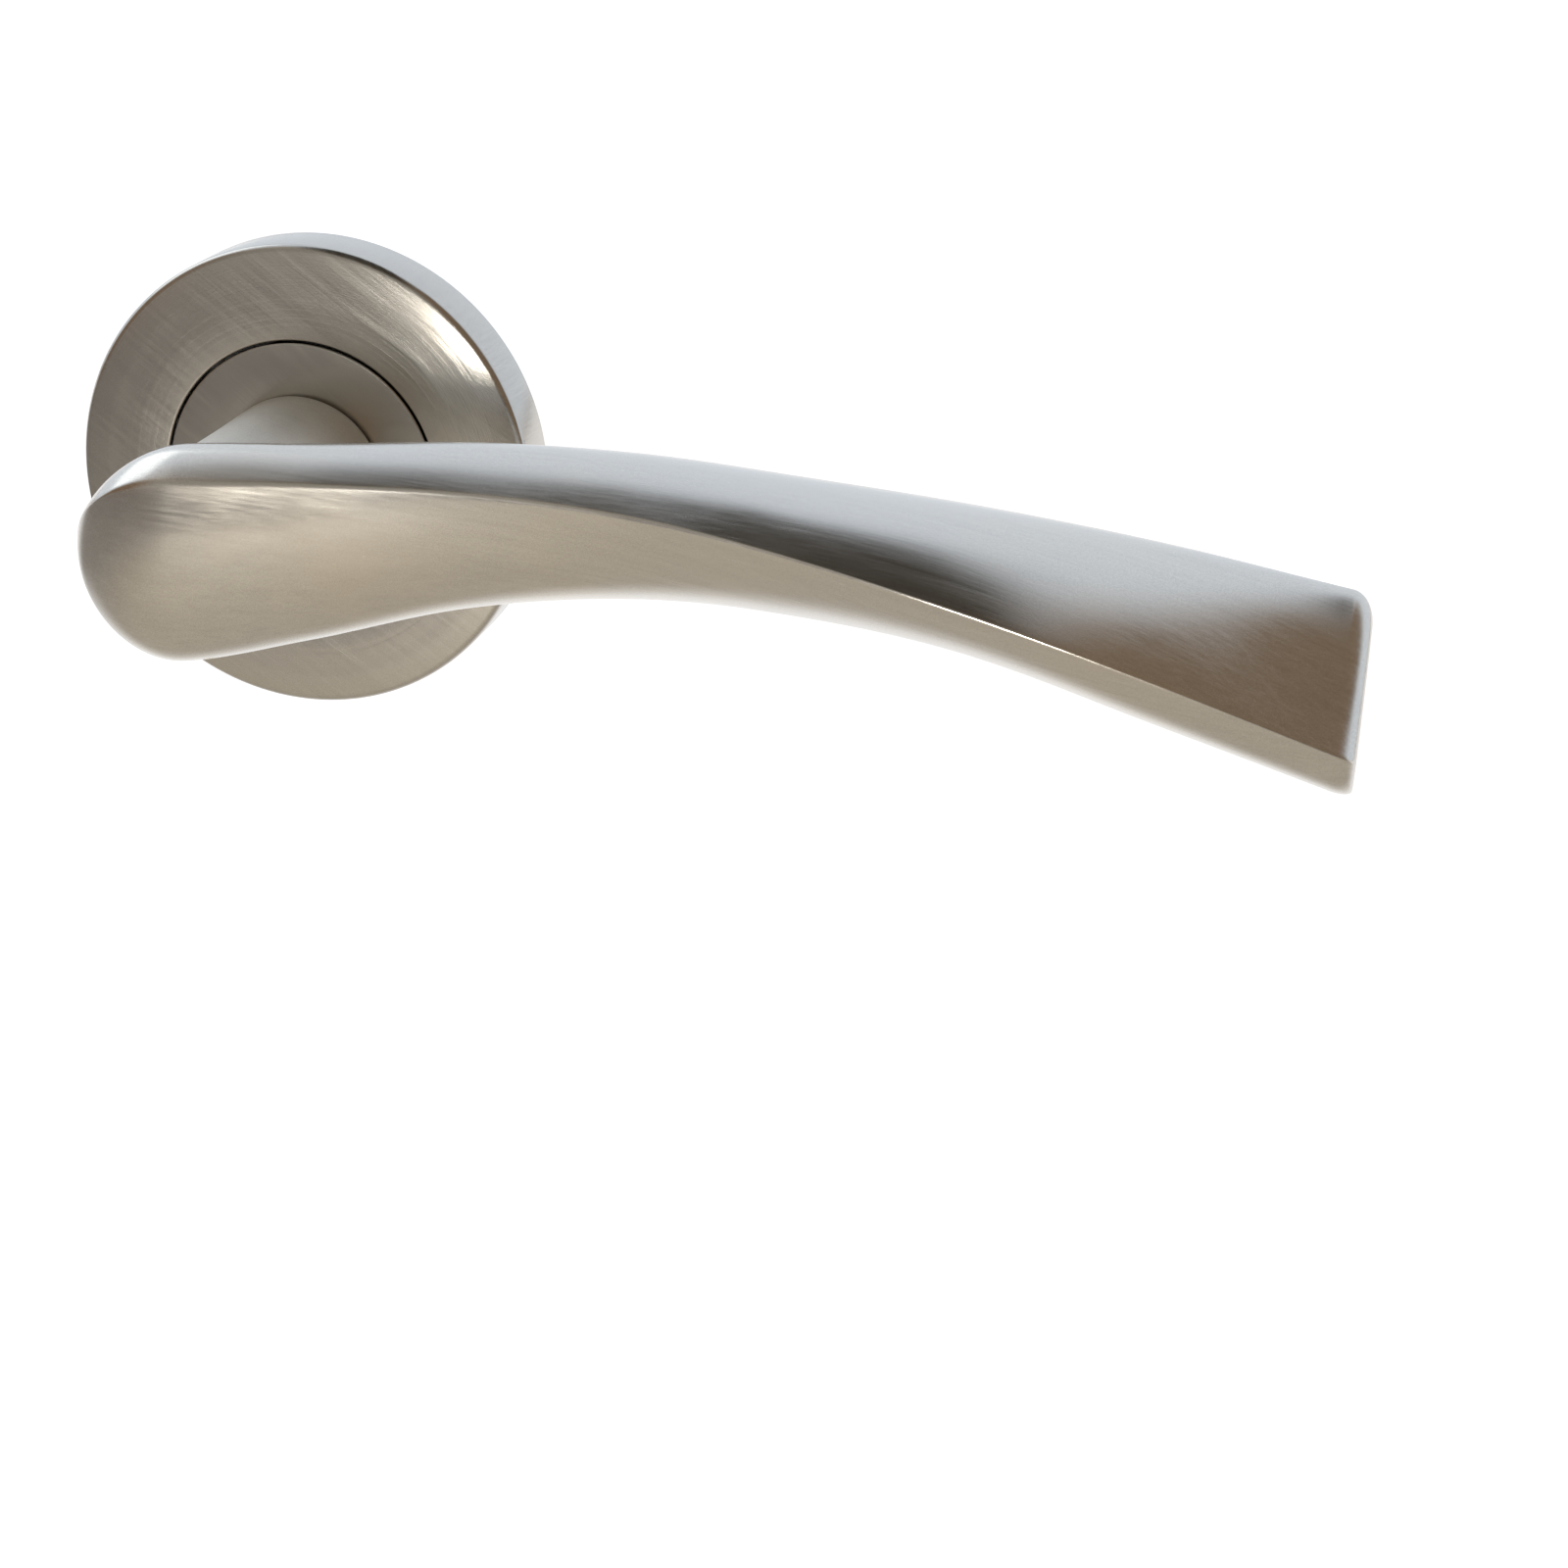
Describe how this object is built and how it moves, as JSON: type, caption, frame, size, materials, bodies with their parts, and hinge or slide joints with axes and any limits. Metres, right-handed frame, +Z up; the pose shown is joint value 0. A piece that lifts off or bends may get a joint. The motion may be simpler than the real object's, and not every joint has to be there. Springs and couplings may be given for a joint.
{
  "type": "door lever handle",
  "caption": "Sprung lever handle on a round rose for one side of a door: a twisted, creased lever with a rounded end on a short round neck.",
  "frame": {"origin": "centre of the rose's back face, on the door's surface and on the spindle's axis", "axes": "+X along the lever towards its tip, +Y into the door, -Y towards the user, +Z up; the lever at rest"},
  "size_m": [0.1449, 0.084, 0.052],
  "materials": {
    "satin_nickel_rose": "satin nickel, brushed in straight lines",
    "satin_nickel_disc": "satin nickel, brushed in straight lines",
    "satin_nickel_lever": "satin nickel, brushed along the lever",
    "satin_nickel_neck": "satin nickel, brushed round the neck",
    "black_rubber": "matt",
    "nylon": "natural nylon",
    "zinc_steel": "bright zinc plate on steel",
    "cast_zinc": "die-cast zinc, as cast",
    "bright_steel": "drawn steel",
    "spring_steel": "hardened spring steel",
    "black_spring_steel": "phosphated spring steel",
    "yellow_zinc": "yellow passivated zinc",
    "spindle_steel": "cold-drawn square bar",
    "black_steel": "black oxide"
  },
  "bodies": {
    "rose": {"rose_cover": "satin_nickel_rose", "cover_grip_ring": "black_rubber", "inner_disc": "satin_nickel_disc", "front_bush": "nylon", "rear_bush": "nylon", "mounting_plate": "zinc_steel", "threaded_lugs": "zinc_steel", "cassette_cage": "cast_zinc", "cage_rivets": "bright_steel", "stop_pins": "bright_steel", "return_springs": "spring_steel", "wood_screws": "yellow_zinc"},
    "lever": {"cam_follower": "cast_zinc", "wave_washer": "spring_steel", "circlip": "black_spring_steel", "lever_neck": "satin_nickel_neck", "lever_grip": "satin_nickel_lever", "joint_stud": "bright_steel", "spindle": "spindle_steel", "grub_screw": "black_steel"}
  },
  "joints": [
    {"name": "lever_turn", "type": "hinge", "parent": "rose", "child": "lever", "pos_m": [0, 0, 0], "axis": [0, 1, 0], "range_deg": [0, 45], "stiffness_Nm_per_rad": 0.9, "springref_deg": -34.38, "deforming": ["return_springs"]}
  ]
}
